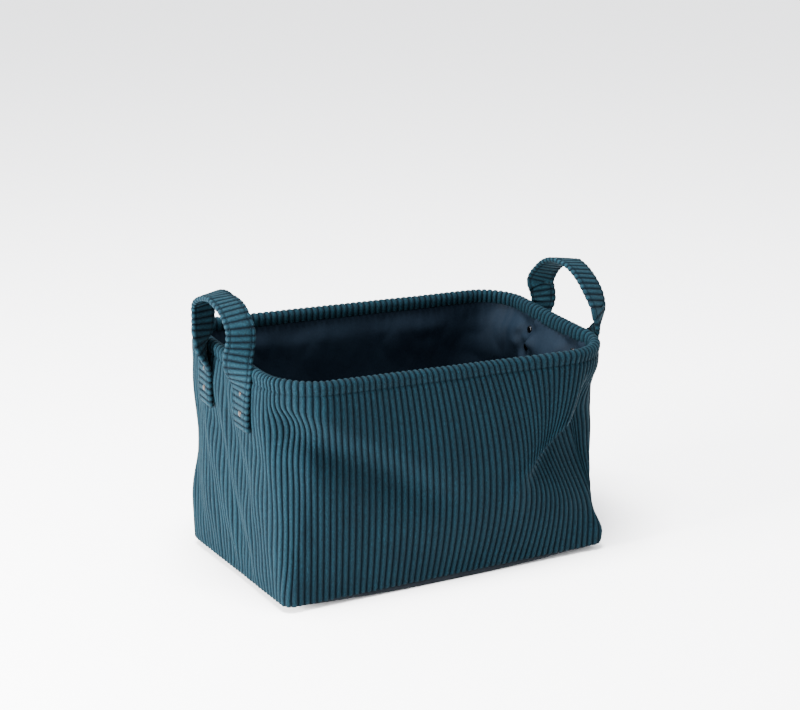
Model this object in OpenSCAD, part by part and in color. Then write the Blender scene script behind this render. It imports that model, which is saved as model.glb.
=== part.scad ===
// Soft storage bin: a wide-wale corduroy wall round a sprung rim, a dark lining,
// a stiffened base and two riveted strap handles.
// +Z is up, X is the long side, and the origin is the middle of the underside.

/* [Basket] */
// Length of the base along X
base_l = 380; // [340:1:390]
// Width of the base along Y
base_w = 236; // [200:1:240]
// Length of the rim, outside to outside
rim_l = 402; // [400:1:430]
// Width of the rim, outside to outside
rim_w = 244; // [242:1:280]
// Height from the floor to the top of the rim
height = 242; // [226:1:260]
// Corner radius at the base
base_corner = 14; // [10:1:30]
// Corner radius at the rim
rim_corner = 54; // [45:1:60]
// Height at which the wall has reached the outline of the rim
shoulder_z = 150; // [120:1:160]

/* [Cloth] */
// Thickness of the corduroy with its pile
cloth_t = 2.5; // [1.5:0.1:2.5]
// Thickness of the lining cloth
lining_t = 0.8; // [0.5:0.1:1]
// Depth of the hem round the rim
hem_depth = 14; // [12:1:18]
// Thickness of the hem across its two layers and the wire
hem_w = 9.4; // [9:0.1:10]
// Radius of the sewing thread
thread_r = 0.45; // [0.3:0.05:0.45]

/* [Rim wire] */
// Radius of the spring steel wire
wire_r = 1.5; // [1:0.1:1.5]
// Length of the crimped sleeve that joins the ends of the wire
ferrule_l = 18; // [14:1:24]

/* [Base] */
// Thickness of the coated cloth under the base
panel_t = 1.6; // [1:0.1:1.6]
// Thickness of the stiff board
board_t = 3; // [2:0.5:3]

/* [Handles] */
// Width of the strap
strap_w = 30; // [24:1:32]
// Thickness of the strap
strap_t = 5; // [3:0.5:5]
// Distance from the middle of the bin to the middle of each strap end
strap_y = 44; // [40:1:46]
// Height of the lower edge of each strap end
strap_foot_z = 175; // [166:1:182]
// Height of the lower rivets
rivet_low_z = 193; // [189:1:197]
// Height of the upper rivets
rivet_high_z = 213; // [206:1:217]
// Half the width of the loop, to the middle of the strap
loop_half = 56; // [52:1:60]
// Height of the top of the loop
loop_top_z = 307; // [300:1:330]
// How far the loop stands outside the strap ends
loop_reach = 6; // [3:1:8]

/* [Rivets] */
// Radius of the cap outside
cap_r = 4; // [3.5:0.1:4.5]
// Radius of the cap inside
back_cap_r = 4.5; // [4:0.1:5]
// Radius of the shank
shank_r = 1.6; // [1.2:0.1:1.6]

/* [Hidden] */
HULL_FN = 48;
SLAB = 0.1;
FIT = 0.3;
WIRE_FERRULE_GAP = 0.05;
FERRULE_WALL = 0.6;
THREAD_GAP = 0.05;
STRAP_GAP = 1.1;
HEAD_GAP = 5.3;
SHANK_GAP = 0.2;
CAP_T = 1.4;
CAP_RIM = 0.7;
TEAL = [0.17, 0.36, 0.43];
TEAL_LIGHT = [0.26, 0.47, 0.54];
NAVY = [0.05, 0.08, 0.13];
CHARCOAL = [0.13, 0.16, 0.19];
THREAD = [0.10, 0.24, 0.30];
STEEL = [0.55, 0.56, 0.58];
GUNMETAL = [0.28, 0.25, 0.24];
BOARD = [0.55, 0.50, 0.43];

stitch_z = height - hem_depth;
base_stitch_z = 9;
thread_inset = -thread_r - THREAD_GAP;
wire_inset = hem_w / 2;
wire_z = height - cloth_t - wire_r - WIRE_FERRULE_GAP - FERRULE_WALL - FIT;
lining_in = cloth_t + FIT;
lining_top_z = stitch_z + 3;
board_z = panel_t + FIT;
floor_z = board_z + board_t + FIT;

wall_x = rim_l / 2;
strap_x = wall_x + STRAP_GAP;
strap_mid_x = strap_x + strap_t / 2;
hinge_z = height + 5;
strap_head_z = hinge_z - HEAD_GAP;
spring_z = hinge_z + 26;
loop_rise = loop_top_z - strap_t / 2 - spring_z;
LEG_STEPS = 10;
ARCH_STEPS = 28;
NOSE = [80, 50, 25];

back_face_x = wall_x - lining_in - lining_t - FIT;
stud_tip_x = back_face_x - 1;

ENDS = ["left", "right"];
LEGS = ["front", "rear"];
LEVELS = ["lower", "upper"];

function side(e) = e == 0 ? -1 : 1;
function level_z(k) = k == 0 ? rivet_low_z : rivet_high_z;
function strap_end_name(e, l) = str(ENDS[e], "_", LEGS[l], "_strap_end");
function rivet_name(e, l, k, part) = str(ENDS[e], "_", LEGS[l], "_", LEVELS[k], "_", part);
function loop_name(e) = str(ENDS[e], "_handle_loop");

// ---- shared outlines ----

// A rectangle with round corners
module rounded_plan(l, w, r) {
    square([l - 2 * r, w], center = true);
    square([l, w - 2 * r], center = true);
    for (x = [-1, 1], y = [-1, 1])
        translate([x * (l / 2 - r), y * (w / 2 - r)])
            circle(r = r);
}

// A measure of the wall's outline at height z, between its base and rim values
function at_height(base, rim, z) = base + (rim - base) * min(z / shoulder_z, 1);

// A thin slice of the basket's outline at height z, drawn in by inset
module slice(z, inset) {
    translate([0, 0, z])
        linear_extrude(height = SLAB)
            rounded_plan(
                at_height(base_l, rim_l, z) - 2 * inset,
                at_height(base_w, rim_w, z) - 2 * inset,
                at_height(base_corner, rim_corner, z) - inset,
                $fn = HULL_FN
            );
}

// The filled shape of the basket between two heights, drawn in by inset
module tub(inset, z0, z1) {
    hull() {
        slice(z0, inset);
        if (z0 < shoulder_z && z1 > shoulder_z)
            slice(shoulder_z, inset);
        slice(z1 - SLAB, inset);
    }
}

// One layer of the wall between two heights
module wall_layer(inset, t, z0, z1) {
    difference() {
        tub(inset, z0, z1);
        tub(inset + t, z0 - 1, z1 + 1);
    }
}

// A round bar bent into a closed rectangle with round corners
module ring_bar(l, w, r, z, bar_r) {
    for (x = [-1, 1])
        translate([x * l / 2, 0, z])
            rotate([90, 0, 0])
                cylinder(h = w - 2 * r, r = bar_r, center = true, $fn = 24);
    for (y = [-1, 1])
        translate([0, y * w / 2, z])
            rotate([0, 90, 0])
                cylinder(h = l - 2 * r, r = bar_r, center = true, $fn = 24);
    for (q = [0:3]) {
        sx = (q == 0 || q == 3) ? 1 : -1;
        sy = q < 2 ? 1 : -1;
        translate([sx * (l / 2 - r), sy * (w / 2 - r), z])
            rotate([0, 0, q * 90])
                rotate_extrude(angle = 90, $fn = 96)
                    translate([r, 0])
                        circle(r = bar_r, $fn = 24);
    }
}

// A bar that follows the rim, drawn in by inset
module rim_bar(inset, z, bar_r) {
    ring_bar(rim_l - 2 * inset, rim_w - 2 * inset, rim_corner - inset, z, bar_r);
}

// A bar that follows the seam at the foot of the wall
module foot_bar(inset, bar_r) {
    l = at_height(base_l, rim_l, base_stitch_z);
    w = at_height(base_w, rim_w, base_stitch_z);
    r = at_height(base_corner, rim_corner, base_stitch_z);
    ring_bar(l - 2 * inset, w - 2 * inset, r - inset, base_stitch_z, bar_r);
}

// Puts its child at each rivet, pointing out of the end wall along X
module at_rivet(e, l, k) {
    mirror([e == 0 ? 1 : 0, 0, 0])
        translate([0, side(l) * strap_y, level_z(k)])
            rotate([0, 90, 0])
                children();
}

// The holes that all eight rivets pass through
module rivet_holes() {
    for (e = [0, 1], l = [0, 1], k = [0, 1])
        at_rivet(e, l, k)
            translate([0, 0, wall_x - 20])
                cylinder(h = 40, r = shank_r + SHANK_GAP, $fn = 32);
}

// ---- basket ----

// Corduroy wall, from the base seam up to the stitching of the hem
module outer_shell() {
    color(TEAL)
        difference() {
            wall_layer(0, cloth_t, board_z, stitch_z);
            rivet_holes();
        }
}

// Band with upright sides that follows the rim
module rim_band(inset, t, z0, z1) {
    inner = inset + t;
    translate([0, 0, z0])
        linear_extrude(height = z1 - z0)
            difference() {
                rounded_plan(rim_l - 2 * inset, rim_w - 2 * inset, rim_corner - inset, $fn = 96);
                rounded_plan(rim_l - 2 * inner, rim_w - 2 * inner, rim_corner - inner, $fn = 96);
            }
}

// Top of the wall folded over the wire, open below where the lining goes in
module rim_hem() {
    color(TEAL)
        difference() {
            rim_band(0, hem_w, stitch_z + FIT, height);
            rim_band(cloth_t, hem_w - 2 * cloth_t, stitch_z, height - cloth_t);
        }
}

// Lockstitch that closes the hem
module hem_thread() {
    color(THREAD)
        rim_bar(thread_inset, stitch_z, thread_r);
}

// Lockstitch that joins the wall to the base
module base_thread() {
    color(THREAD)
        foot_bar(thread_inset, thread_r);
}

// Sprung wire that holds the rim open
module rim_wire() {
    color(STEEL)
        rim_bar(wire_inset, wire_z, wire_r);
}

// The outer form of the wire's sleeve, in the middle of the back
module ferrule_shape(extra, l) {
    translate([0, rim_w / 2 - wire_inset, wire_z])
        rotate([0, 90, 0])
            cylinder(h = l, r = wire_r + extra, center = true, $fn = 32);
}

// Sleeve crimped over the two ends of the wire
module rim_wire_ferrule() {
    color(STEEL)
        difference() {
            ferrule_shape(FERRULE_WALL + WIRE_FERRULE_GAP, ferrule_l);
            ferrule_shape(WIRE_FERRULE_GAP, ferrule_l + 2);
        }
}

// Coated cloth under the base
module base_panel() {
    color(CHARCOAL)
        linear_extrude(height = panel_t)
            rounded_plan(base_l - 2, base_w - 2, base_corner - 1, $fn = 64);
}

// Stiff board that keeps the base flat
module base_board() {
    inset = lining_in + lining_t;
    color(BOARD)
        translate([0, 0, board_z])
            linear_extrude(height = board_t)
                rounded_plan(base_l - 2 * inset, base_w - 2 * inset, base_corner - inset, $fn = 64);
}

// Lining of the four walls, its top edge held inside the hem
module lining_wall() {
    color(NAVY)
        difference() {
            wall_layer(lining_in, lining_t, floor_z, lining_top_z);
            rivet_holes();
        }
}

// Lining of the floor
module lining_base() {
    inset = lining_in + lining_t + FIT;
    color(NAVY)
        translate([0, 0, floor_z])
            linear_extrude(height = lining_t)
                rounded_plan(base_l - 2 * inset, base_w - 2 * inset, base_corner - inset, $fn = 64);
}

// ---- handles ----

// End of a strap, flat on the outside of the end wall
module strap_end(e, l) {
    color(TEAL_LIGHT)
        difference() {
            mirror([e == 0 ? 1 : 0, 0, 0])
                translate([strap_x, side(l) * strap_y, (strap_foot_z + strap_head_z) / 2])
                    rotate([0, 90, 0])
                        linear_extrude(height = strap_t)
                            rounded_plan(strap_head_z - strap_foot_z, strap_w, 2, $fn = 32);
            rivet_holes();
        }
}

function smooth(k) = k * k * (3 - 2 * k);

// One station of the leg of a loop: [x, y, z, twist, thickness, lean]
function leg_station(k) = [
    strap_mid_x + loop_reach * smooth(k),
    strap_y + (loop_half - strap_y) * smooth(k),
    hinge_z + (spring_z - hinge_z) * k,
    90 * (1 - smooth(k)),
    strap_t,
    atan((loop_half - strap_y) * 6 * k * (1 - k) / (spring_z - hinge_z))
];

// Rounded nose that turns on the hinge line
function nose_station(a) = [
    strap_mid_x, strap_y, hinge_z - strap_t / 2 * sin(a), 90, strap_t * cos(a), 0
];

// One station of the arch, at angle a from the rear spring line
function arch_station(a) = [
    strap_mid_x + loop_reach, loop_half * cos(a), spring_z + loop_rise * sin(a), 0, strap_t,
    -atan2(loop_half * sin(a), loop_rise * cos(a))
];

// The rear leg from its nose to the spring line
rear_leg = concat(
    [for (a = NOSE) nose_station(a)],
    [for (i = [0:LEG_STEPS - 1]) leg_station(i / LEG_STEPS)]
);
front_leg = [for (i = [len(rear_leg) - 1:-1:0]) rear_leg[i]];

// The four corners of the strap at a rear station, where lean tips the strap in Y
function rear_corners(s) = [
    for (c = [[1, 1], [-1, 1], [-1, -1], [1, -1]])
        let (wide = c[0] * strap_w / 2)
        let (thick = c[1] * s[4] / 2)
        let (across = -wide * sin(s[3]) + thick * cos(s[3]))
        [
            s[0] + wide * cos(s[3]) + thick * sin(s[3]),
            s[1] + across * cos(s[5]),
            s[2] - across * sin(s[5])
        ]
];

// The same corners at a front station, mirrored in Y and kept in the same order
function front_corners(s) = [for (p = rear_corners(s)) [p[0], -p[1], p[2]]];

loop_rings = concat(
    [for (s = rear_leg) rear_corners(s)],
    [for (i = [0:ARCH_STEPS]) rear_corners(arch_station(180 * i / ARCH_STEPS))],
    [for (s = front_leg) front_corners(s)]
);

// A closed skin over a row of four-cornered rings
module skin(rings) {
    n = len(rings);
    points = [for (ring = rings) for (p = ring) p];
    sides = [
        for (i = [0:n - 2]) for (j = [0:3]) for (t = [0, 1])
            let (a = 4 * i + j)
            let (b = 4 * i + (j + 1) % 4)
            t == 0 ? [a, b, b + 4] : [a, b + 4, a + 4]
    ];
    start = [[3, 2, 1], [3, 1, 0]];
    stop = [[4 * n - 4, 4 * n - 3, 4 * n - 2], [4 * n - 4, 4 * n - 2, 4 * n - 1]];
    polyhedron(points = points, faces = concat(sides, start, stop), convexity = 6);
}

// Free loop of a strap handle, turned edge outwards above the rim
module handle_loop(e) {
    color(TEAL_LIGHT)
        mirror([e == 0 ? 1 : 0, 0, 0])
            skin(loop_rings);
}

// Rivet with a low domed cap outside and a shank through strap, wall and lining
module rivet(e, l, k) {
    color(GUNMETAL)
        at_rivet(e, l, k)
            rotate_extrude($fn = 48)
                polygon([
                    [0, stud_tip_x],
                    [shank_r, stud_tip_x],
                    [shank_r, strap_x + strap_t + 0.1],
                    [cap_r, strap_x + strap_t + 0.1],
                    [cap_r, strap_x + strap_t + CAP_RIM],
                    [cap_r * 0.7, strap_x + strap_t + CAP_T * 0.85],
                    [0, strap_x + strap_t + CAP_T]
                ]);
}

// Cap pressed on the tip of the rivet, inside the lining
module rivet_cap(e, l, k) {
    color(GUNMETAL)
        at_rivet(e, l, k)
            rotate_extrude($fn = 48)
                polygon([
                    [0, back_face_x - 2.2],
                    [back_cap_r * 0.7, back_face_x - 1.8],
                    [back_cap_r, back_face_x - 0.9],
                    [back_cap_r, back_face_x],
                    [shank_r + 0.05, back_face_x],
                    [shank_r + 0.05, stud_tip_x - 0.05],
                    [0, stud_tip_x - 0.05]
                ]);
}

outer_shell();
rim_hem();
hem_thread();
base_thread();
rim_wire();
rim_wire_ferrule();
base_panel();
base_board();
lining_wall();
lining_base();
for (e = [0, 1]) {
    handle_loop(e);
    for (l = [0, 1]) {
        strap_end(e, l);
        for (k = [0, 1]) {
            rivet(e, l, k);
            rivet_cap(e, l, k);
        }
    }
}
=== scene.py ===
"""A corduroy storage bin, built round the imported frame.

Folded and creased corduroy walls, a lining, a coated base and two riveted strap handles.
Shapes are worked out in millimetres and turned into metres by add_mesh.
"""

import math

import bpy
import numpy as np
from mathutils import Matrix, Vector


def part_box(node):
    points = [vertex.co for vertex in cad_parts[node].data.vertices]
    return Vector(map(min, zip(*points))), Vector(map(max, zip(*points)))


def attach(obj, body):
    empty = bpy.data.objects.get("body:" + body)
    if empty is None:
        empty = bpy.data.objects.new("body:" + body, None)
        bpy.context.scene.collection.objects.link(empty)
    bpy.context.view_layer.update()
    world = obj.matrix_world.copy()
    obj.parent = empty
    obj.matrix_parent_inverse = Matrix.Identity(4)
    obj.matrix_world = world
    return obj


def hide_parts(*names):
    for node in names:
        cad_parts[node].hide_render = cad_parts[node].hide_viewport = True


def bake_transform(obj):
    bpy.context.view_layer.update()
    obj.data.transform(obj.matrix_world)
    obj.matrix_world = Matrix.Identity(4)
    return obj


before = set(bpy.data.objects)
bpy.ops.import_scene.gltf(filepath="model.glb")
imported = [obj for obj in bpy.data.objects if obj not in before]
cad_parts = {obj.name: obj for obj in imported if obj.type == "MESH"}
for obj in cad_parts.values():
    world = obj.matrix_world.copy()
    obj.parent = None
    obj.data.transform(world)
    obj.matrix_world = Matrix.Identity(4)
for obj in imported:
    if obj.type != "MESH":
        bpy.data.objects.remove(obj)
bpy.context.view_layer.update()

MM = 0.001


# ---- sizes, worked out from the frame ----

def span(node):
    """Lowest and highest corner of a CAD node, in millimetres."""
    low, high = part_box(node)
    return np.array(low) / MM, np.array(high) / MM


HEM_LOW, HEM_HIGH = span("rim_hem")
PANEL_LOW, PANEL_HIGH = span("base_panel")
STRAP_LOW, STRAP_HIGH = span("right_front_strap_end")
LOOP_LOW, LOOP_HIGH = span("right_handle_loop")
LINING_LOW, LINING_HIGH = span("lining_wall")

HALF_RIM = HEM_HIGH[:2]
HALF_BASE = PANEL_HIGH[:2] + 1.0
TOP = HEM_HIGH[2]
STITCH_Z = HEM_LOW[2]
SEAM_Z = 7.0
SHOULDER_Z = 150.0
LINING_TOP = LINING_HIGH[2]

# corner radii: front right, back right, back left, front left
BASE_CORNERS = np.array([6.0, 12.0, 12.0, 10.0])
RIM_CORNERS = np.array([66.0, 48.0, 37.0, 58.0])

# how much wider than the base the rim stands on the long sides
RIM_HALF_STEP = float(HALF_RIM[1] - HALF_BASE[1])

# the corduroy: wales round the bin, depth of a groove, and how high the mean surface lies in that depth
WALES = 172
WALE_DEPTH = 2.0
MEAN_RIDGE = 0.72

# how the soft rim leans: shift in X and Y, and rise along X and Y
RIM_SHIFT = (3.8, -6.1)
RIM_RISE = (-0.030, 0.044)
# under the rim, the right end wall is drawn in and the left one stands out
RIGHT_END_IN = 18.0
LEFT_END_OUT = 5.0

# a quarter of the way round the wall, and the distance from the middle of the front to either front corner
QUARTER = 302.0
CORNER = 188.0


def smooth(x):
    """0 below 0, 1 above 1, and a smooth step between."""
    x = np.clip(x, 0.0, 1.0)
    return x * x * (3 - 2 * x)


def bump(x):
    """A bell of height 1 and width about 1."""
    return np.exp(-x * x)


def lean_amount(z):
    """Share of the rim's lean that a point at height z takes."""
    return smooth(z / TOP)


def lean(p):
    """Points of the true, level bin moved as the soft cloth leans. p is an array of [x, y, z]."""
    k = lean_amount(p[..., 2])
    out = p.copy()
    out[..., 0] += k * RIM_SHIFT[0]
    out[..., 1] += k * RIM_SHIFT[1]
    out[..., 2] += k * (RIM_RISE[0] * p[..., 0] + RIM_RISE[1] * p[..., 1])
    right_end = smooth((p[..., 0] - 120) / 70) * bump((p[..., 2] - 194) / 32) * bump(p[..., 1] / 78)
    left_end = smooth((-p[..., 0] - 120) / 70) * bump((p[..., 2] - 200) / 32) * bump(p[..., 1] / 80)
    out[..., 0] -= RIGHT_END_IN * right_end + LEFT_END_OUT * left_end
    return out


def waves(u, v, seed, size, count=9):
    """Smooth seeded noise about -1 to 1, from a few crossing waves. size is the wavelength."""
    rng = np.random.default_rng(seed)
    total = np.zeros(np.broadcast(u, v).shape)
    for _ in range(count):
        angle = rng.uniform(0, math.tau)
        k = math.tau / (size * rng.uniform(0.7, 1.5))
        total = total + np.sin(k * (u * math.cos(angle) + v * math.sin(angle)) + rng.uniform(0, math.tau))
    return total / math.sqrt(count) / 1.4


# ---- the wall as a smooth surface ----

def outline(a, half_l, half_w, corners):
    """Points and outward normals round a rectangle with round corners.

    a runs from 0 to 4, anticlockwise from the middle of the front, and is whole at the middle of each side.
    """
    q = np.floor(a).astype(int) % 4
    t = a - np.floor(a)
    r = corners[..., 0] * (q == 0) + corners[..., 1] * (q == 1)
    r = r + corners[..., 2] * (q == 2) + corners[..., 3] * (q == 3)
    even = q % 2 == 0
    first = np.where(even, half_l, half_w)
    last = np.where(even, half_w, half_l)
    run = first - r
    arc = r * math.pi / 2
    s = t * (run + arc + last - r)
    angle = np.clip((s - run) / r, 0, math.pi / 2)
    along = np.minimum(s, run) + r * np.sin(angle)
    inward = r * (1 - np.cos(angle)) + np.maximum(s - run - arc, 0)
    turn = q * math.pi / 2
    ex, ey = np.cos(turn), np.sin(turn)
    nx, ny = ey, -ex
    x = nx * last + along * ex - inward * nx
    y = ny * last + along * ey - inward * ny
    return x, y, nx * np.cos(angle) + ex * np.sin(angle), ny * np.cos(angle) + ey * np.sin(angle)


def round_front(a):
    """Distance round the wall from the middle of the front, negative to the left."""
    return ((a + 2) % 4 - 2) * QUARTER


# how far a point on the front seems to move sideways in a view from the left, for each millimetre forward
SIDE_VIEW = 0.547

# the folded right corner: wales at the fold run to the left as they go up, then turn back above it
FOLD_LEFT = 62.0
FOLD_REACH = 45.0


def crest_x(z):
    """Where the sharp fold stands along the front at height z. It steepens towards the right corner."""
    return 91.5 + 0.0115 * (np.maximum(z, 90.0) - 90.0) ** 2


def wale_bow(s, z):
    """Sideways bow of the wales over the front, as seen, without the fold."""
    height = np.where(z > 100, 1 - ((z - 100) / 97) ** 2, 1 - ((z - 100) / 88) ** 2)
    size = (3 + 0.052 * np.clip(s + 120, 0, 195)) * (1 - smooth((s - 75) / 100))
    return size * height


def fold_draw(s, z):
    """Sideways draw of the cloth under the fold, as seen, in millimetres, always to the left."""
    start = 62 + (158 - s) * 0.5
    rise = 9 * np.log1p(np.exp(np.clip((z - start) / 9, -30, 30)))
    return -FOLD_REACH * np.tanh(0.5 * rise / FOLD_REACH)


def crest_wale(z):
    """The wale, by its place round the foot of the wall, that meets the sharp fold at height z."""
    s = crest_x(z)
    for _ in range(30):
        s = crest_x(z) - wale_bow(s, z) - fold_draw(s, z)
    return s


def front_shift(s, z):
    """Sideways shift of the wales over the front, as seen from the left, in millimetres."""
    crest = crest_wale(z)
    under = wale_bow(s, z) + fold_draw(s, z)
    reach = np.clip((s - FOLD_LEFT) / np.maximum(crest - FOLD_LEFT, 1), 0, 1) ** 1.6
    over = wale_bow(s, z) + fold_draw(crest, z) * reach
    return np.where(s < crest, over, under)


def on_front(s):
    """1 over the front, falling to 0 round the two corners beside it."""
    return (1 - smooth((s - 196) / 55)) * smooth((s + 236) / 55)


def off_seam(s):
    """1 over most of the wall, falling to 0 at the middle of the back, where s jumps between its ends."""
    return smooth((2 * QUARTER - np.abs(s)) / 50)


def strap_quiet(s, z):
    """1 over most of the wall, falling to 0 behind the strap ends, where the rivets hold the cloth flat."""
    side = np.abs(np.abs(s) - QUARTER)
    return 1 - bump((side - 44) / 22) * smooth((z - 150) / 25)


def dent_frame(s, z):
    """Across and along the soft dent that runs down from the left corner over the front."""
    x0, z0, x1, z1 = -196.0, 205.0, 10.0, 85.0
    length = math.hypot(x1 - x0, z1 - z0)
    ux, uz = (x1 - x0) / length, (z1 - z0) / length
    along = ((s - x0) * ux + (z - z0) * uz) / length
    across = (s - x0) * -uz + (z - z0) * ux
    return across, along


def fold_push(s, z):
    """The folded right corner: the cloth dives in behind the crest and comes out again to the base corner."""
    crest = crest_wale(z)
    under = np.maximum(smooth((s - crest + 12) / 18), smooth((s - 170) / 24))
    fade = (1 - smooth((z - 158) / 66)) * np.where(s > CORNER, bump((s - CORNER) / 46), 1.0)
    ridge_line = bump((s - crest + 12) / 12) * smooth((z - 60) / 35) * (1 - smooth((z - 150) / 30))
    return 0.66 * fold_draw(s, z) * under * fade + 3.5 * ridge_line


def wall_push(s, z):
    """How far the cloth stands out of its even shape, in millimetres, negative inwards."""
    # the four corners are pinched in between the base and the rim
    up = smooth((z - 8) / 50) * (1 - smooth((z - 165) / 55))
    push = -5.0 * bump((s + CORNER) / 30) * up
    push += -8.0 * bump((s - 2 * QUARTER + CORNER) / 36) * up
    push += -10.5 * bump((s + 2 * QUARTER - CORNER) / 34) * bump((z - 125) / 48)
    push += -9.0 * bump((s - CORNER) / 30) * smooth((z - 20) / 30) * (1 - smooth((z - 105) / 60))
    push += 2.5 * bump((s - CORNER) / 16) * bump((z - 14) / 14)
    # the front and the back belly out
    push += 6.0 * bump((s - 10) / 110) * smooth((z - 14) / 70) * (1 - smooth((z - 115) / 105))
    back = bump((np.abs(s) - 2 * QUARTER) / 150)
    push += 4.0 * back * smooth((z - 14) / 60) * (1 - smooth((z - 120) / 100))
    push += fold_push(s, z)

    # a soft dent with a ridge above it runs down over the front
    across, along = dent_frame(s, z)
    held = smooth(along / 0.15 + 0.5) * (1 - smooth((along - 0.55) / 0.6)) * (1 + 0.5 * bump(along / 0.3))
    push += held * (-9.0 * bump((across + 6) / 22) + 3.5 * bump((across - 26) / 20))

    # slack creases on the left end, and slight unevenness everywhere
    left = bump((s + QUARTER) / 95)
    push += left * 1.8 * np.sin(math.tau * (s * 0.021 + z * 0.010) + 0.7) * smooth((z - 10) / 40)
    push += left * 1.1 * waves(s, z * 0.45, 11, 26)
    push += off_seam(s) * (1.3 * waves(s, z * 0.8, 3, 120) + 0.4 * waves(s, z * 0.6, 4, 42))
    quiet = strap_quiet(s, z) * smooth((z - 4) / 14) * (1 - 0.75 * smooth((z - STITCH_Z + 25) / 22))
    return push * quiet


def wall_slide(s, z):
    """How far the wales are drawn sideways along the cloth, in millimetres, positive to the right."""
    forward = wall_push(s, z) + (RIM_HALF_STEP - RIM_SHIFT[1]) * lean_amount(z)
    front = front_shift(s, z) - RIM_SHIFT[0] * lean_amount(z) - SIDE_VIEW * forward
    front -= 5.0 * bump((s + 190) / 28) * bump((z - 180) / 30)
    free = smooth((z - 10) / 45) * (1 - smooth((z - 185) / 45))
    return on_front(s) * front + free * off_seam(s) * (1 - on_front(s)) * 1.6 * waves(s * 0.5, z, 21, 130)


def wall_point(a, z, inset, loose=1.0):
    """Points on the soft wall at outline position a, height z and depth inset, in millimetres."""
    s = round_front(a)
    tall = 1 - (1 - np.clip(z / (SHOULDER_Z + 30), 0, 1)) ** 2
    half_l = HALF_BASE[0] + (HALF_RIM[0] - HALF_BASE[0]) * tall
    half_w = HALF_BASE[1] + (HALF_RIM[1] - HALF_BASE[1]) * tall
    round_up = smooth(z / TOP * 0.85 + 0.08)[..., None]
    corners = BASE_CORNERS + (RIM_CORNERS - BASE_CORNERS) * round_up
    moved = a + loose * wall_slide(s, z) / QUARTER
    x, y, nx, ny = outline(moved, half_l, half_w, corners)
    out = loose * wall_push(s, z) - inset
    return np.stack([x + nx * out, y + ny * out, z + 0 * x], axis=-1)


def surface_normals(grid):
    """Unit normals of a grid of points that closes on itself along its first axis."""
    along = np.roll(grid, -1, axis=0) - np.roll(grid, 1, axis=0)
    up = np.gradient(grid, axis=1)
    n = np.cross(along, up)
    return n / np.maximum(np.linalg.norm(n, axis=-1, keepdims=True), 1e-9)


# ---- mesh helpers ----

def add_mesh(name, verts_mm, faces, material, body="bin"):
    """A new object from points in millimetres."""
    mesh = bpy.data.meshes.new(name)
    mesh.from_pydata((np.asarray(verts_mm, dtype=float) * MM).tolist(), [], faces)
    mesh.validate()
    mesh.update()
    mesh.polygons.foreach_set("use_smooth", [True] * len(mesh.polygons))
    obj = bpy.data.objects.new(name, mesh)
    bpy.context.scene.collection.objects.link(obj)
    mesh.materials.append(material)
    if body:
        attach(obj, body)
    return obj


def paint(obj, name, values):
    """A value for each vertex, which the material reads."""
    layer = obj.data.attributes.new(name, "FLOAT", "POINT")
    layer.data.foreach_set("value", np.asarray(values, dtype=np.float32).ravel())


def grid_faces(columns, rows, close, flip=False):
    """Faces of a grid whose vertices are stored column by column."""
    count = columns if close else columns - 1
    i = np.arange(count)[:, None]
    j = np.arange(rows - 1)[None, :]
    a = i * rows + j
    b = ((i + 1) % columns) * rows + j
    quads = np.stack([a, b, b + 1, a + 1], axis=-1).reshape(-1, 4)
    if flip:
        quads = quads[:, ::-1]
    return quads.tolist()


# ---- materials ----

def new_material(name):
    """A new material with its nodes, links and shader."""
    material = bpy.data.materials.new(name)
    material.use_nodes = True
    nodes = material.node_tree.nodes
    shader = nodes["Principled BSDF"]
    return material, nodes, material.node_tree.links, shader


def noise(nodes, links, coords, scale, detail=3.0, stretch=(1, 1, 1)):
    """A noise texture read at scale, stretched along the axes."""
    mapping = nodes.new("ShaderNodeMapping")
    mapping.inputs["Scale"].default_value = stretch
    links.new(coords, mapping.inputs["Vector"])
    tex = nodes.new("ShaderNodeTexNoise")
    tex.inputs["Scale"].default_value = scale
    tex.inputs["Detail"].default_value = detail
    links.new(mapping.outputs["Vector"], tex.inputs["Vector"])
    return tex.outputs["Fac"]


def ramp(nodes, links, value, stops):
    """A colour ramp from value through (position, colour) stops."""
    node = nodes.new("ShaderNodeValToRGB")
    elements = node.color_ramp.elements
    while len(elements) < len(stops):
        elements.new(0.5)
    for element, (place, colour) in zip(elements, stops):
        element.position = place
        element.color = (*colour, 1)
    links.new(value, node.inputs["Fac"])
    return node.outputs["Color"]


def mix(nodes, links, kind, factor, a, b):
    """Two colours mixed. factor is a number or a socket, and so are a and b."""
    node = nodes.new("ShaderNodeMix")
    node.data_type = "RGBA"
    node.blend_type = kind
    for socket, value in ((node.inputs[0], factor), (node.inputs[6], a), (node.inputs[7], b)):
        if isinstance(value, bpy.types.NodeSocket):
            links.new(value, socket)
        elif isinstance(value, tuple):
            socket.default_value = (*value, 1)
        else:
            socket.default_value = value
    return node.outputs[2]


def bump_node(nodes, links, height, strength, distance, before=None):
    """A normal bent by height, on top of the normal before."""
    node = nodes.new("ShaderNodeBump")
    node.inputs["Strength"].default_value = strength
    node.inputs["Distance"].default_value = distance
    links.new(height, node.inputs["Height"])
    if before:
        links.new(before, node.inputs["Normal"])
    return node.outputs["Normal"]


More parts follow.
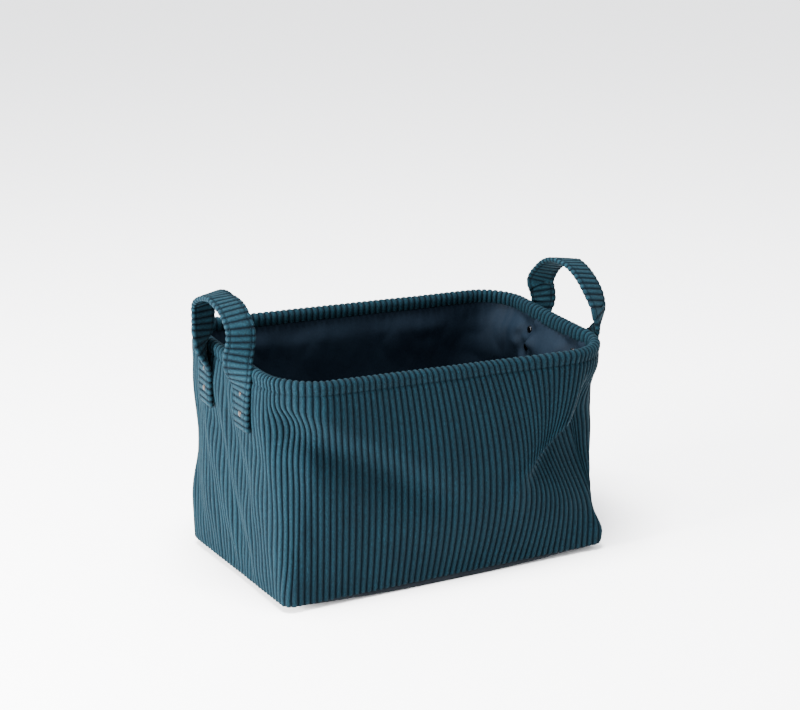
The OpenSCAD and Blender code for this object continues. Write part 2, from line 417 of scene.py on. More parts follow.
def corduroy_material(name, groove, dark, mid, light, stretch):
    """Pile on ridges: painted shade darkens the grooves and the colour grows paler up to the crests, with tufts
    along the wales.
    """
    material, nodes, links, shader = new_material(name)
    where = nodes.new("ShaderNodeTexCoord").outputs["Object"]
    wale = nodes.new("ShaderNodeAttribute")
    wale.attribute_name = "wale"
    blotch = noise(nodes, links, where, 28, 4)
    tuft = noise(nodes, links, where, 900, 3, stretch)
    fibre = noise(nodes, links, where, 3200, 2)
    # painted shade: the wale value takes the colour from dark in the grooves to pale on the crests
    colour = ramp(nodes, links, wale.outputs["Fac"], [(0.0, groove), (0.34, dark), (0.72, mid), (1.0, light)])
    shade = ramp(nodes, links, tuft, [(0.28, (0.45, 0.45, 0.45)), (0.72, (1.55, 1.55, 1.55))])
    colour = mix(nodes, links, "MULTIPLY", 0.9, colour, shade)
    patch = ramp(nodes, links, blotch, [(0.3, (0.84, 0.86, 0.88)), (0.7, (1.12, 1.10, 1.08))])
    colour = mix(nodes, links, "MULTIPLY", 0.8, colour, patch)
    links.new(colour, shader.inputs["Base Color"])
    rough = nodes.new("ShaderNodeMapRange")
    rough.inputs["To Min"].default_value = 0.98
    rough.inputs["To Max"].default_value = 0.80
    links.new(wale.outputs["Fac"], rough.inputs["Value"])
    links.new(rough.outputs["Result"], shader.inputs["Roughness"])
    normal = bump_node(nodes, links, tuft, 0.55, 0.0005)
    normal = bump_node(nodes, links, fibre, 0.35, 0.0002, normal)
    links.new(normal, shader.inputs["Normal"])
    shader.inputs["Specular IOR Level"].default_value = 0.04
    shader.inputs["Sheen Weight"].default_value = 0.012
    shader.inputs["Sheen Roughness"].default_value = 0.5
    shader.inputs["Sheen Tint"].default_value = (0.45, 0.75, 0.85, 1)
    return material


def lining_material():
    """Smooth, tightly woven navy lining with a faint sheen and a fine weave."""
    material, nodes, links, shader = new_material("lining")
    where = nodes.new("ShaderNodeTexCoord").outputs["Object"]
    weave = noise(nodes, links, where, 2600, 2, (1, 1, 0.35))
    cloud = noise(nodes, links, where, 14, 3)
    crease = noise(nodes, links, where, 60, 4, (1, 1, 0.5))
    colour = ramp(nodes, links, cloud, [(0.3, (0.0017, 0.0040, 0.0078)), (0.7, (0.0028, 0.0062, 0.0112))])
    shade = ramp(nodes, links, weave, [(0.3, (0.8, 0.8, 0.8)), (0.7, (1.15, 1.15, 1.15))])
    links.new(mix(nodes, links, "MULTIPLY", 0.6, colour, shade), shader.inputs["Base Color"])
    rough = ramp(nodes, links, crease, [(0.3, (0.62, 0.62, 0.62)), (0.7, (0.78, 0.78, 0.78))])
    links.new(rough, shader.inputs["Roughness"])
    normal = bump_node(nodes, links, crease, 0.5, 0.002)
    normal = bump_node(nodes, links, weave, 0.25, 0.0001, normal)
    links.new(normal, shader.inputs["Normal"])
    shader.inputs["Specular IOR Level"].default_value = 0.05
    shader.inputs["Sheen Weight"].default_value = 0.0
    return material


def base_material():
    """Coated charcoal cloth, slightly grained and scuffed."""
    material, nodes, links, shader = new_material("base_cloth")
    where = nodes.new("ShaderNodeTexCoord").outputs["Object"]
    grain = noise(nodes, links, where, 1500, 3)
    scuff = noise(nodes, links, where, 90, 5, (0.4, 1, 1))
    colour = ramp(nodes, links, scuff, [(0.3, (0.0020, 0.0032, 0.0050)), (0.72, (0.0046, 0.0066, 0.0090))])
    links.new(colour, shader.inputs["Base Color"])
    rough = ramp(nodes, links, grain, [(0.3, (0.55, 0.55, 0.55)), (0.7, (0.75, 0.75, 0.75))])
    links.new(rough, shader.inputs["Roughness"])
    shader.inputs["Specular IOR Level"].default_value = 0.06
    links.new(bump_node(nodes, links, grain, 0.4, 0.0002), shader.inputs["Normal"])
    return material


def thread_material():
    """Twisted polyester thread."""
    material, nodes, links, shader = new_material("thread")
    where = nodes.new("ShaderNodeTexCoord").outputs["Object"]
    twist = noise(nodes, links, where, 2500, 2, (1, 1, 2))
    colour = ramp(nodes, links, twist, [(0.3, (0.0006, 0.003, 0.005)), (0.7, (0.002, 0.008, 0.012))])
    links.new(colour, shader.inputs["Base Color"])
    links.new(bump_node(nodes, links, twist, 0.5, 0.0001), shader.inputs["Normal"])
    shader.inputs["Specular IOR Level"].default_value = 0.04
    shader.inputs["Roughness"].default_value = 0.8
    return material


def metal_material(name, low, high, rough_low, rough_high, scale=420):
    """Worn metal whose colour and polish vary from place to place."""
    material, nodes, links, shader = new_material(name)
    where = nodes.new("ShaderNodeTexCoord").outputs["Object"]
    wear = noise(nodes, links, where, scale, 5)
    fine = noise(nodes, links, where, scale * 7, 3)
    links.new(ramp(nodes, links, wear, [(0.35, low), (0.68, high)]), shader.inputs["Base Color"])
    rough = ramp(nodes, links, fine, [(0.3, (rough_low,) * 3), (0.7, (rough_high,) * 3)])
    links.new(rough, shader.inputs["Roughness"])
    links.new(bump_node(nodes, links, fine, 0.25, 0.00008), shader.inputs["Normal"])
    shader.inputs["Metallic"].default_value = 1.0
    return material


def board_material():
    """Grey board with pressed fibres."""
    material, nodes, links, shader = new_material("board")
    where = nodes.new("ShaderNodeTexCoord").outputs["Object"]
    fibre = noise(nodes, links, where, 700, 5, (1, 0.3, 1))
    colour = ramp(nodes, links, fibre, [(0.3, (0.26, 0.22, 0.17)), (0.7, (0.42, 0.37, 0.29))])
    links.new(colour, shader.inputs["Base Color"])
    links.new(bump_node(nodes, links, fibre, 0.4, 0.0002), shader.inputs["Normal"])
    shader.inputs["Roughness"].default_value = 0.9
    return material


# colours from groove to crest for the wall and the straps; the dark stops are painted shade in the grooves
CORDUROY = corduroy_material(
    "corduroy",
    (0.0002, 0.0009, 0.0018),
    (0.0004, 0.0023, 0.0043),
    (0.0007, 0.0047, 0.0077),
    (0.0016, 0.0088, 0.0134),
    (1, 1, 0.45),
)
STRAP_CORDUROY = corduroy_material(
    "strap_corduroy",
    (0.0002, 0.0008, 0.0016),
    (0.0003, 0.0019, 0.0036),
    (0.0009, 0.0055, 0.0089),
    (0.0026, 0.0115, 0.0170),
    (0.6, 0.6, 0.8),
)
LINING = lining_material()
BASE_CLOTH = base_material()
THREAD = thread_material()
STEEL = metal_material("spring_wire", (0.32, 0.32, 0.33), (0.60, 0.60, 0.62), 0.25, 0.42)
COPPER = metal_material("rivet_outer", (0.008, 0.0055, 0.0045), (0.040, 0.026, 0.021), 0.34, 0.55)
GUNMETAL = metal_material("rivet_inner", (0.006, 0.006, 0.007), (0.028, 0.028, 0.030), 0.16, 0.32)
BOARD = board_material()


# ---- the corduroy wall with its hem ----

def ridge(phase):
    """Height of a wale across its width, 0 in the groove and 1 on the crest."""
    return np.abs(np.sin(math.pi * phase)) ** 0.55


# where the vertices lie across a wale, closest together by its grooves
PHASES = np.array([0.0, 0.055, 0.17, 0.34, 0.5, 0.66, 0.83, 0.945])


def wall_profile():
    """Rows of the wall: height, inset, and wale depth as a share of the full depth.

    They run from the base seam, up over the rolled hem and down inside it.
    """
    rows = [
        (SEAM_Z - 0.2, 3.4, 0.3),
        (SEAM_Z - 1.0, 1.8, 0.5),
        (SEAM_Z - 0.4, 0.5, 0.8),
        (SEAM_Z + 2.2, -0.3, 1.0),
    ]
    low, high, count = SEAM_Z + 6.0, STITCH_Z - 4.0, 40
    rows += [(low + (high - low) * i / (count - 1), 0.0, 1.0) for i in range(count)]
    rows += [
        (STITCH_Z - 1.4, 0.3, 0.9),
        (STITCH_Z, 1.2, 0.55),
        (STITCH_Z + 1.4, 0.4, 0.9),
        (STITCH_Z + 4.2, -0.1, 1.0),
    ]
    radius = 5.6
    middle = 4.7
    for i in range(11):
        angle = math.pi * (1 - i / 10)
        rows.append((TOP - radius + radius * math.sin(angle), middle + radius * math.cos(angle), 1.0))
    rows += [(STITCH_Z + 3.0, 10.0, 1.0), (STITCH_Z + 1.0, 9.3, 0.7), (STITCH_Z - 0.4, 8.6, 0.35)]
    return np.array(rows)


def wale_grid():
    """Outline positions of every column of vertices, and the place of each across its wale."""
    k = np.arange(WALES)[:, None]
    a = (k + PHASES[None, :]).ravel() * 4 / WALES
    return a, np.tile(PHASES, WALES)


def make_wall():
    """The corduroy wrap with its hem rolled over the wire. Its own seam is at the back left corner."""
    a, phase = wale_grid()
    rows = wall_profile()
    z, inset, depth = rows[:, 0], rows[:, 1], rows[:, 2]
    aa, zz = np.meshgrid(a, z, indexing="ij")
    base = lean(wall_point(aa, zz, inset[None, :]))
    normals = surface_normals(base)
    s = round_front(aa)
    height = ridge(phase)[:, None] * np.ones_like(zz)
    tuft = 0.10 * waves(s, zz, 31, 9) + 0.07 * waves(s, zz, 32, 4.2)
    by_crest = bump((s - crest_wale(zz)) / 16) * smooth((zz - 80) / 30) * (1 - smooth((zz - 170) / 30))
    squeezed = 1 - 0.3 * by_crest
    seam = bump((s + 2 * QUARTER - CORNER) / 2.4)
    out = WALE_DEPTH * depth[None, :] * squeezed * (height - MEAN_RIDGE) * (1 + tuft) - 1.2 * seam
    points = base + normals * out[..., None]
    wall = add_mesh("corduroy_wall", points.reshape(-1, 3), grid_faces(len(a), len(z), close=True), CORDUROY)
    # painted shade: darker in the grooves and along the flattened rows at the base seam, the hem stitches and the
    # flap's edge inside; darker too along the wrap's own seam
    paint(wall, "wale", height * (0.75 + 0.25 * depth[None, :]) * (1 - 0.6 * seam))
    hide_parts("outer_shell", "rim_hem")
    return wall


# ---- stitches, wire and other rings that follow the rim ----

def ring_frame(a, z, inset, loose=1.0):
    """Points on a line round the bin, with the directions along it, out of it and up."""
    e = 0.004
    here = lean(wall_point(a, z, inset, loose))
    ahead = lean(wall_point(a + e, z, inset, loose))
    along = ahead - here
    along /= np.linalg.norm(along, axis=-1, keepdims=True)
    up = np.zeros_like(along)
    up[..., 2] = 1
    out = np.cross(along, up)
    out /= np.linalg.norm(out, axis=-1, keepdims=True)
    return here, along, out, np.cross(out, along)


def capsule(centre, along, out, up, length, radius, sides=6):
    """Vertices and faces of one stitch, sunk at both ends."""
    half = [(0.15, 1.0, 0.0), (0.38, 0.8, -0.35), (0.5, 0.25, -0.9)]
    stations = [(-place, size, sink) for place, size, sink in half[::-1]] + half
    verts = []
    for place, size, sink in stations:
        for i in range(sides):
            t = math.tau * i / sides
            rise = radius * (size * math.cos(t) + sink)
            side = radius * size * math.sin(t)
            verts.append(centre + along * place * length + out * rise + up * side)
    faces = []
    for j in range(len(stations) - 1):
        for i in range(sides):
            k = (i + 1) % sides
            faces.append((j * sides + i, j * sides + k, (j + 1) * sides + k, (j + 1) * sides + i))
    faces.append(tuple(range(sides))[::-1])
    faces.append(tuple(range((len(stations) - 1) * sides, len(stations) * sides)))
    return verts, faces


def stitch_row(name, frames, length, radius, body="bin"):
    """One object for a row of stitches, from a list of (centre, along, out, up)."""
    verts, faces = [], []
    for centre, along, out, up in frames:
        v, f = capsule(centre, along, out, up, length, radius)
        faces += [tuple(i + len(verts) for i in face) for face in f]
        verts += v
    obj = add_mesh(name, verts, faces, THREAD, body)
    return obj


def make_ring_stitches(name, z, inset, node, outward=1.0):
    """A row of stitches round the bin, one on the crest of each wale."""
    a = (np.arange(WALES) + 0.5) * 4 / WALES
    here, along, out, up = ring_frame(a, np.full(WALES, z), np.full(WALES, inset))
    frames = [(here[i], along[i], out[i] * outward, up[i]) for i in range(WALES)]
    obj = stitch_row(name, frames, 4.2, 0.5)
    if node:
        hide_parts(node)
    return obj


def ring_tube(name, z, inset, radius, material, start=0.0, stop=4.0, count=360, sides=10):
    """A round tube that follows the rim."""
    close = stop - start >= 4.0
    a = np.linspace(start, stop, count, endpoint=not close)
    here, along, out, up = ring_frame(a, np.full(count, z), np.full(count, inset), loose=0.25)
    t = np.arange(sides) * math.tau / sides
    points = here[:, None, :] + radius * (
        out[:, None, :] * np.cos(t)[None, :, None] + up[:, None, :] * np.sin(t)[None, :, None]
    )
    verts = points.reshape(-1, 3)
    faces = []
    for i in range(count if close else count - 1):
        for j in range(sides):
            k = (j + 1) % sides
            n = (i + 1) % count
            faces.append((i * sides + j, i * sides + k, n * sides + k, n * sides + j))
    if not close:
        faces.append(tuple(range(sides))[::-1])
        faces.append(tuple(range((count - 1) * sides, count * sides)))
    return add_mesh(name, verts, faces, material)


def make_rim_wire():
    """The sprung wire inside the hem, and the crimped sleeve that joins its ends at the back."""
    wire_low, wire_high = span("rim_wire")
    wire_z = (wire_low[2] + wire_high[2]) / 2
    wire_r = (wire_high[2] - wire_low[2]) / 2
    inset = HALF_RIM[1] - wire_high[1] + wire_r
    wire = ring_tube("sprung_rim_wire", wire_z, inset, wire_r, STEEL)
    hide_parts("rim_wire")
    low, high = span("rim_wire_ferrule")
    half = (high[0] - low[0]) / 2 / QUARTER
    sleeve_r = (high[2] - low[2]) / 2
    sleeve = ring_tube("rim_wire_sleeve", wire_z, inset, sleeve_r, STEEL, 2 - half, 2 + half, 24, 14)
    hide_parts("rim_wire_ferrule")


# ---- base ----

def belly(x):
    """Height of the underside above the floor: the base hangs lowest in the middle and rises to the ends."""
    return SEAM_Z * np.clip(np.abs(x) / (HALF_BASE[0] - 4), 0, 1) ** 2


def slab_grid(half_l, half_w, corner, count_l, count_w):
    """A grid of points over a rectangle with round corners."""
    u = np.linspace(-1, 1, count_l)
    v = np.linspace(-1, 1, count_w)
    uu, vv = np.meshgrid(u, v, indexing="ij")
    x, y = uu * half_l, vv * half_w
    cut_x = np.maximum(np.abs(x) - (half_l - corner), 0)
    cut_y = np.maximum(np.abs(y) - (half_w - corner), 0)
    reach = np.hypot(cut_x, cut_y)
    square = np.maximum(cut_x, cut_y)
    scale = np.where(reach > 1e-9, square / np.maximum(reach, 1e-9), 1)
    x = np.sign(x) * (np.abs(x) - cut_x + cut_x * scale)
    y = np.sign(y) * (np.abs(y) - cut_y + cut_y * scale)
    return x, y


def slab(name, half_l, half_w, corner, bottom, thick, material, edge=0.8, counts=(60, 38)):
    """A closed, bent plate whose underside follows bottom(x, y), with eased edges."""
    x, y = slab_grid(half_l, half_w, corner, *counts)
    low = bottom(x, y)
    rim = np.zeros_like(x)
    rim[0, :] = rim[-1, :] = rim[:, 0] = rim[:, -1] = 1
    ease = edge * rim
    under = np.stack([x, y, low + ease], axis=-1)
    over = np.stack([x, y, low + thick - ease], axis=-1)
    n, m = counts
    verts = np.concatenate([under.reshape(-1, 3), over.reshape(-1, 3)])
    top = grid_faces(n, m, close=False)
    faces = [tuple(f[::-1]) for f in top] + [tuple(i + n * m for i in f) for f in top]
    border = (
        [i * m for i in range(n)]
        + [(n - 1) * m + j for j in range(1, m)]
        + [i * m + m - 1 for i in range(n - 2, -1, -1)]
        + [j for j in range(m - 2, 0, -1)]
    )
    for p, q in zip(border, border[1:] + border[:1]):
        faces.append((p, q, q + n * m, p + n * m))
    return add_mesh(name, verts, faces, material)


# rows of the base cloth from its seam to its flat part: share of the height up to the seam, and inset
BASE_ROLL = [
    (1.0, 2.6), (0.72, 1.2), (0.45, 0.5), (0.2, 0.6),
    (0.05, 1.6), (0.0, 4.0), (0.0, 10.0), (0.0, 24.0),
]


def make_base():
    """The coated base cloth: the underside, rolling up to the seam at the foot of the wall."""
    count = 480
    a = np.arange(count) * 4 / count
    columns = []
    for share, inset in BASE_ROLL:
        p = wall_point(a, np.full(count, SEAM_Z), np.full(count, float(inset)), loose=0.0)
        low = belly(p[:, 0])
        p[:, 2] = low + (SEAM_Z + 1.4 - low) * share
        columns.append(p)
    grid = np.stack(columns, axis=1)
    grid[:, :, 2] += 0.25 * waves(grid[:, :, 0], grid[:, :, 1], 51, 60) * smooth(grid[:, :, 2] / 3)
    verts = grid.reshape(-1, 3)
    faces = grid_faces(count, len(BASE_ROLL), close=True, flip=True)
    x, y = slab_grid(HALF_BASE[0] - 22, HALF_BASE[1] - 22, 4, 60, 36)
    inner = np.stack([x, y, belly(x) + 0.02], axis=-1).reshape(-1, 3)
    faces += [tuple(i + len(verts) for i in f[::-1]) for f in grid_faces(60, 36, close=False)]
    verts = np.concatenate([verts, inner])
    base = add_mesh("base_cloth", verts, faces, BASE_CLOTH)
    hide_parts("base_panel")

    board_low, board_high = span("base_board")
    board = slab(
        "stiff_board",
        board_high[0] - 2,
        board_high[1] - 2,
        10,
        lambda x, y: belly(x) + 1.0,
        board_high[2] - board_low[2],
        BOARD,
    )
    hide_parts("base_board")
    floor_low, floor_high = span("lining_base")
    floor = slab(
        "lining_floor",
        floor_high[0] - 0.9,
        floor_high[1] - 0.9,
        6,
        lambda x, y: belly(x) + 4.4 + 0.5 * waves(x, y, 61, 70),
        floor_high[2] - floor_low[2],
        LINING,
        edge=0.2,
        counts=(90, 56),
    )
    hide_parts("lining_base")
    return base, floor


# ---- lining ----

LEVELS = ("lower", "upper")
RIVET_Z = [sum(span("right_front_" + level + "_rivet")[k][2] for k in (0, 1)) / 2 for level in LEVELS]
RIVET_Y = (STRAP_LOW[1] + STRAP_HIGH[1]) / -2


def make_lining():
    """The lining of the walls, hung from the hem, held flat by the rivets and creased round them."""
    count = 640
    a = np.arange(count) * 4 / count
    low = LINING_LOW[2]
    z = np.append(np.linspace(low, STITCH_Z - 9, 64), STITCH_Z + np.array([-6.0, -3.0, 0.0, 2.0]))
    aa, zz = np.meshgrid(a, z, indexing="ij")
    s = round_front(aa)
    free = smooth((zz - low) / 40) * (1 - smooth((zz - STITCH_Z + 26) / 22))
    hang = 3.4 * smooth((zz - STITCH_Z + 70) / 66)
    near_hem = (1 - smooth((STITCH_Z - zz) / 60)) * smooth((STITCH_Z - zz) / 8)
    gather = 0.6 * near_hem * off_seam(s) * waves(s, zz * 0.1, 71, 16)
    loose = 2.2 * waves(s, zz * 0.35, 72, 90) + 1.0 * np.abs(waves(s, zz * 0.7, 73, 38))
    folds = free * (2.4 + off_seam(s) * loose)
    pull = np.zeros_like(s)
    tight = np.zeros_like(s)
    for side in (-1, 1):
        for y in (-RIVET_Y, RIVET_Y):
            centre = side * QUARTER + side * y
            for rz in RIVET_Z:
                du, dz = s - centre, zz - rz
                r = np.hypot(du, dz)
                star = np.cos(5 * np.arctan2(dz, du) + 1.3 * rz)
                pull += 2.2 * star * bump((r - 18) / 12) * (1 - bump(r / 7))
                tight = np.maximum(tight, 1 - smooth((r - 6) / 13))
    inset = 4.6 + hang + folds + gather + pull
    inset = inset * (1 - tight) + 3.6 * tight
    points = lean(wall_point(aa, zz, np.maximum(inset, 3.6)))
    faces = grid_faces(count, len(z), close=True, flip=True)
    lining = add_mesh("lining_sleeve", points.reshape(-1, 3), faces, LINING)
    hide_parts("lining_wall")
    return lining


# ---- strap handles ----

STRAP_W = STRAP_HIGH[1] - STRAP_LOW[1]
STRAP_T = 5.2
STRAP_X = (STRAP_LOW[0] + STRAP_HIGH[0]) / 2
STRAP_FOOT = STRAP_LOW[2]
TWIST_FROM = 206.0
STAND_OFF = 5.0
LOOP_X = (LOOP_LOW[0] + LOOP_HIGH[0]) / 2
LOOP_TOP = LOOP_HIGH[2] - STRAP_T / 2
STRAP_PITCH = 6.8

# for each handle: half its width, height of its shoulders, how pointed its arch is, its shift to the back,
# and the length of strap over which it turns from lying on the wall to arching over
HANDLE_SHAPE = {"left": (45.5, 279.0, 1.0, -3.0, 62.0), "right": (59.0, 262.0, 1.5, 0.0, 88.0)}
LOOP_SAG = 3.5
OPEN_TWIST = math.radians(15)


def strap_path(side_name):
    """Evenly spaced stations of a whole strap, rear foot to front foot, as if on the right-hand end."""
    half, spring, point, shift, turn = HANDLE_SHAPE[side_name]
    k = np.linspace(0, 1, 200, endpoint=False)
    lz = STRAP_FOOT + (spring - STRAP_FOOT) * k
    t = np.clip((lz - TWIST_FROM) / (spring - TWIST_FROM), 0, 1)
    lx = STRAP_X + (LOOP_X - STRAP_X) * smooth(t) + STAND_OFF * bump((lz - TOP) / 16)
    ly = RIVET_Y + (half - RIVET_Y) * smooth((lz - TWIST_FROM) / (spring - TWIST_FROM))
    angle = np.linspace(0, math.pi, 240)
    ay = half * np.cos(angle)
    az = spring + (LOOP_TOP - LOOP_SAG - spring) * np.sin(angle) ** point
    open_twist = np.concatenate([1 + 0 * lz, np.abs(np.cos(angle)) ** 0.5, 1 + 0 * lz])
    x = np.concatenate([lx, LOOP_X + 0 * ay, lx[::-1]])
    y = np.concatenate([ly, ay, -ly[::-1]])
    z = np.concatenate([lz, az, lz[::-1]])
    y = y + shift * smooth((z - TWIST_FROM) / 50)
    path = np.stack([x, y, z], axis=-1)
    step = np.linalg.norm(np.diff(path, axis=0), axis=1)
    length = np.concatenate([[0], np.cumsum(step)])
    free = np.minimum(length, length[-1] - length) - (TWIST_FROM - STRAP_FOOT)
    twist = OPEN_TWIST * open_twist + (math.pi / 2 - OPEN_TWIST) * (1 - smooth(free / turn))
    count = int(round(length[-1] / STRAP_PITCH))
    places = (np.arange(count)[:, None] + PHASES[None, :]).ravel()
    places = np.append(places, count) / count * length[-1]
    phase = np.append(np.tile(PHASES, count), 0.0)
    out = np.stack([np.interp(places, length, path[:, i]) for i in range(3)], axis=-1)
    return out, np.interp(places, length, twist), phase, places


def strap_frames(side_name):
    """Centre, width direction and outer-face direction of each station."""
    path, twist, phase, places = strap_path(side_name)
    tangent = np.gradient(path, axis=0)
    tangent /= np.linalg.norm(tangent, axis=1, keepdims=True)
    outward = np.array([1.0, 0, 0])
    arch_out = np.cross(tangent, outward)
    arch_out /= np.linalg.norm(arch_out, axis=1, keepdims=True)
    if arch_out[len(path) // 2, 2] < 0:
        arch_out = -arch_out
    face = outward * np.sin(twist)[:, None] + arch_out * np.cos(twist)[:, None]
    face -= tangent * np.sum(face * tangent, axis=1, keepdims=True)
    face /= np.linalg.norm(face, axis=1, keepdims=True)
    wide = np.cross(tangent, face)
    return path, wide, face, phase, places


def strap_section():
    """Points round the strap's section: place across the width and through the thickness, and the normal."""
    r = STRAP_T / 2 - 0.1
    half = STRAP_W / 2
    flat = half - r
    across = [-1.0, -0.86, -0.80, -0.74, -0.5, -0.25, 0.0, 0.25, 0.5, 0.74, 0.80, 0.86, 1.0]
    points = [(flat * t, STRAP_T / 2, 0.0, 1.0) for t in across]
    for i in range(1, 6):
        angle = math.pi / 2 - math.pi * i / 6
        c, s = math.cos(angle), math.sin(angle)
        points.append((flat + r * c, STRAP_T / 2 * s, c, s))
    points += [(flat * t, -STRAP_T / 2, 0.0, -1.0) for t in across[::-1]]
    for i in range(1, 6):
        angle = -math.pi / 2 - math.pi * i / 6
        c, s = math.cos(angle), math.sin(angle)
        points.append((-flat + r * c, STRAP_T / 2 * s, c, s))
    return np.array(points)


def to_side(points, side_name):
    """Points of the right-hand strap put on their own end of the leaning bin."""
    out = points.copy()
    if side_name == "left":
        out[..., 0] *= -1
    return lean(out)


def make_strap(side_name):
    """One whole strap with its stitching, and its length in metres."""
    path, wide, face, phase, places = strap_frames(side_name)
    section = strap_section()
    w, h, nw, nh = section.T
    end = np.minimum(places, places[-1] - places)
    tuck = 1 - 0.55 * (1 - smooth(end / 3.2))
    height = ridge(phase)
    groove = bump((np.abs(w) / (STRAP_W / 2) - 0.70) / 0.035) * (np.abs(nh) > 0.9)
    wobble = 0.5 * waves(places, 0 * places, 81 if side_name == "left" else 82, 40)
    rows = []
    shade = []
    for i in range(len(path)):
        rise = 0.95 * (height[i] - MEAN_RIDGE)
        rivet = 0
        for rz in RIVET_Z:
            rivet = rivet + bump((path[i][2] - rz) / 5.5)
        crush = -0.9 * rivet * bump(w / 6.0) * (nh > 0.9)
        out = rise - 0.75 * groove + crush
        centre = path[i] + wide[i] * wobble[i]
        across = (w * (1 + 0.012 * wobble[i]) + nw * out) * (1 - 0.1 * (1 - tuck[i]))
        through = (h + nh * out) * tuck[i]
        rows.append(centre + wide[i] * across[:, None] + face[i] * through[:, None])
        # painted shade: darker in the wale grooves and in the sunken stitched channels near the strap's edges
        shade.append(height[i] * (1 - 0.45 * groove) + 0 * w)
    grid = to_side(np.array(rows), side_name)
    n, m = len(path), len(section)
    flip = side_name == "left"
    faces = []
    for i in range(n - 1):
        for j in range(m):
            k = (j + 1) % m
            quad = (i * m + j, i * m + k, (i + 1) * m + k, (i + 1) * m + j)
            faces.append(quad[::-1] if flip else quad)
    first, last = tuple(range(m)), tuple(range((n - 1) * m, n * m))
    faces += [first if flip else first[::-1], last[::-1] if flip else last]
    strap = add_mesh(side_name + "_strap", grid.reshape(-1, 3), faces, STRAP_CORDUROY, body=None)
    paint(strap, "wale", np.array(shade))
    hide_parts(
        side_name + "_front_strap_end", side_name + "_rear_strap_end", side_name + "_handle_loop"
    )
    bend(strap)

    frames = []
    step = 4.6
    count = int(places[-1] / step)
    for q in range(2, count - 1):
        place = q * step
        i = int(np.searchsorted(places, place))
        along = path[min(i + 1, n - 1)] - path[i - 1]
        along = along / np.linalg.norm(along)
        for edge in (-1, 1):
            centre = path[i] + wide[i] * edge * 0.70 * STRAP_W / 2 + face[i] * (STRAP_T / 2 - 0.35)
            frames.append((centre, along, face[i], wide[i]))
    moved = []
    for centre, along, out, up in frames:
        p = to_side(np.array([centre, centre + along, centre + out, centre + up]), side_name)
        moved.append((p[0], p[1] - p[0], p[2] - p[0], p[3] - p[0]))
    stitches = stitch_row(side_name + "_strap_stitches", moved, 3.0, 0.42, body=None)
    bend(stitches)
    return strap, places[-1] * MM


def bend(obj):
    """Bakes the object's placement into its mesh."""
    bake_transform(obj)


# ---- rivets ----

def lathe(name, profile, centre, axis, material, sides=28):
    """A turned piece from (radius, height) pairs, standing on centre along axis."""
    axis = np.array(axis, dtype=float)
    side = np.array([0.0, 1.0, 0.0])
    third = np.cross(axis, side)
    verts = []
    faces = []
    for r, h in profile:
        for i in range(sides):
            t = math.tau * i / sides
            verts.append(np.array(centre) + axis * h + (side * math.cos(t) + third * math.sin(t)) * r)
    for j in range(len(profile) - 1):
        for i in range(sides):
            k = (i + 1) % sides
            faces.append((j * sides + i, j * sides + k, (j + 1) * sides + k, (j + 1) * sides + i))
    faces.append(tuple(range(sides))[::-1])
    faces.append(tuple(range((len(profile) - 1) * sides, len(profile) * sides)))
    return add_mesh(name, verts, faces, material)


# radius and height along the rivet: the outer cap with its shank, and the inner cap with its dimple
OUTER_CAP = [
    (1.6, -9.2), (1.6, -0.6), (3.1, -0.6), (3.4, -0.3), (3.4, 0.1),
    (3.1, 0.4), (2.5, 0.65), (1.7, 0.8), (0.9, 0.9), (0.05, 0.92),
]
INNER_CAP = [
    (1.7, 0.0), (4.2, 0.0), (4.5, 0.3), (4.45, 0.8), (4.0, 1.3),
    (3.1, 1.7), (1.9, 1.85), (1.5, 1.7), (1.0, 1.5), (0.05, 1.45),
]


def make_rivets():
    """Two rivets at each strap end: a domed cap in the pile outside, and a round cap on the lining inside."""
    for side_name, sign in (("left", -1), ("right", 1)):
        for leg, leg_sign in (("front", -1), ("rear", 1)):
            for level, z in zip(LEVELS, RIVET_Z):
                name = f"{side_name}_{leg}_{level}_rivet"
                face = STRAP_X + STRAP_T / 2 - 1.1
                y = leg_sign * RIVET_Y
                spot = np.array([[sign * face, y, z], [sign * (face + 1), y, z]])
                p = lean(spot)
                axis = (p[1] - p[0]) / np.linalg.norm(p[1] - p[0])
                cap = lathe(name + "_head", OUTER_CAP, p[0], axis, COPPER)
                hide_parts(name)
                inner = lean(np.array([[sign * (HALF_RIM[0] - 3.4), y, z]]))[0]
                back = lathe(name + "_back", INNER_CAP, inner, -axis, GUNMETAL)
                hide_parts(name + "_cap")


# ---- the set: floor, light and camera ----

# half the floor's side in metres, the studio's brightness, and each light's place, size in metres and power in watts
FLOOR_HALF = 6.0
STUDIO_STRENGTH = 2.7
KEY = ((-1.9, -0.1, 0.34), (0.6, 0.6), 400)
OVERHEAD = ((-0.35, -0.25, 2.4), (0.9, 0.9), 310)

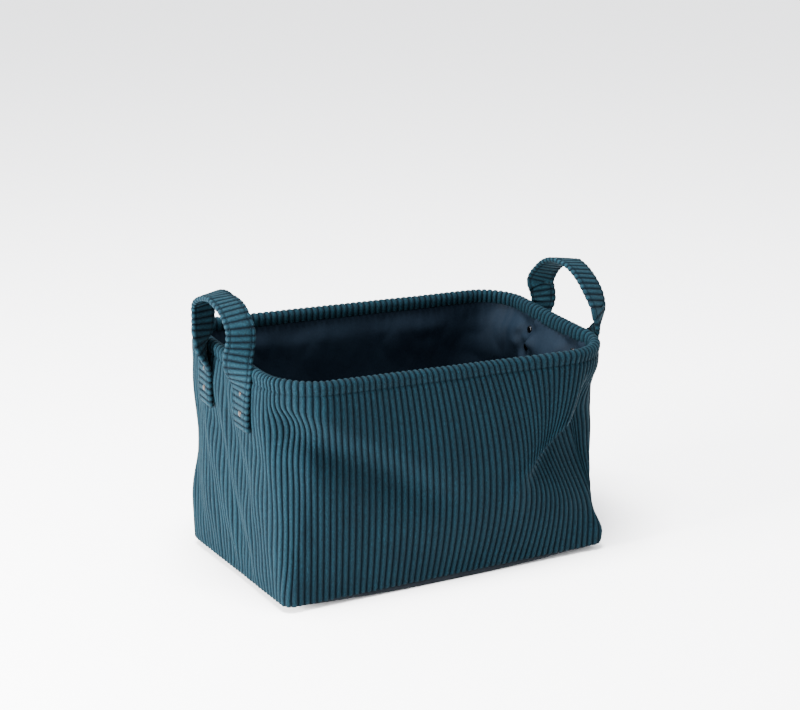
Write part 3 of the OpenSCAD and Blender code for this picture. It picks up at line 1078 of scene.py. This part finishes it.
def make_set():
    """A pale floor that fades into a pale studio, a big soft light at the left and one above."""
    floor = bpy.data.meshes.new("floor")
    size = FLOOR_HALF
    corners = [(-size, -size, 0), (size, -size, 0), (size, size, 0), (-size, size, 0)]
    floor.from_pydata(corners, [], [(0, 1, 2, 3)])
    obj = bpy.data.objects.new("floor", floor)
    bpy.context.scene.collection.objects.link(obj)
    material, nodes, links, shader = new_material("floor")
    shader.inputs["Base Color"].default_value = (0.93, 0.93, 0.94, 1)
    shader.inputs["Roughness"].default_value = 0.9
    shader.inputs["Specular IOR Level"].default_value = 0.1
    floor.materials.append(material)

    world = bpy.data.worlds.new("studio")
    world.use_nodes = True
    background = world.node_tree.nodes["Background"]
    background.inputs["Color"].default_value = (0.97, 0.98, 1.0, 1)
    background.inputs["Strength"].default_value = STUDIO_STRENGTH
    bpy.context.scene.world = world

    def area(name, place, size, power, target, colour=(1, 1, 1)):
        light = bpy.data.lights.new(name, "AREA")
        light.shape = "RECTANGLE"
        light.size, light.size_y = size
        light.energy = power
        light.color = colour
        obj = bpy.data.objects.new(name, light)
        obj.location = place
        obj.rotation_euler = (Vector(target) - Vector(place)).to_track_quat("-Z", "Y").to_euler()
        bpy.context.scene.collection.objects.link(obj)

    area("key", *KEY, (0, 0, 0.12), (1.0, 0.99, 0.97))
    area("top", *OVERHEAD, (0, 0, 0.1))


# the photograph's view: focal length, place in metres, and turn and tilt in radians
LENS_MM = 98.1
CAMERA_PLACE = (-1.068, -1.959, 0.863 + SEAM_Z * MM)
CAMERA_TURN = -0.501
CAMERA_DOWN = 0.285


def make_camera():
    """A long lens at the photograph's viewing angle, above and to the left of the front."""
    camera = bpy.data.cameras.new("camera")
    camera.sensor_width = 36.0
    camera.lens = LENS_MM
    obj = bpy.data.objects.new("camera", camera)
    across = math.cos(CAMERA_DOWN)
    look = Vector((-math.sin(CAMERA_TURN) * across, math.cos(CAMERA_TURN) * across, -math.sin(CAMERA_DOWN)))
    obj.location = Vector(CAMERA_PLACE)
    obj.rotation_euler = look.to_track_quat("-Z", "Y").to_euler()
    bpy.context.scene.collection.objects.link(obj)
    bpy.context.scene.camera = obj


make_camera()
make_set()
wall = make_wall()
hem_out = make_ring_stitches("hem_stitches", STITCH_Z + 0.1, 1.15, "hem_thread")
hem_in = make_ring_stitches("hem_stitches_inside", STITCH_Z + 1.0, 9.7, None, outward=-1.0)
foot = make_ring_stitches("base_seam_stitches", SEAM_Z + 1.2, 2.0, "base_thread")
make_rim_wire()
base, floor_lining = make_base()
lining = make_lining()
left_strap, left_length = make_strap("left")
right_strap, right_length = make_strap("right")
make_rivets()
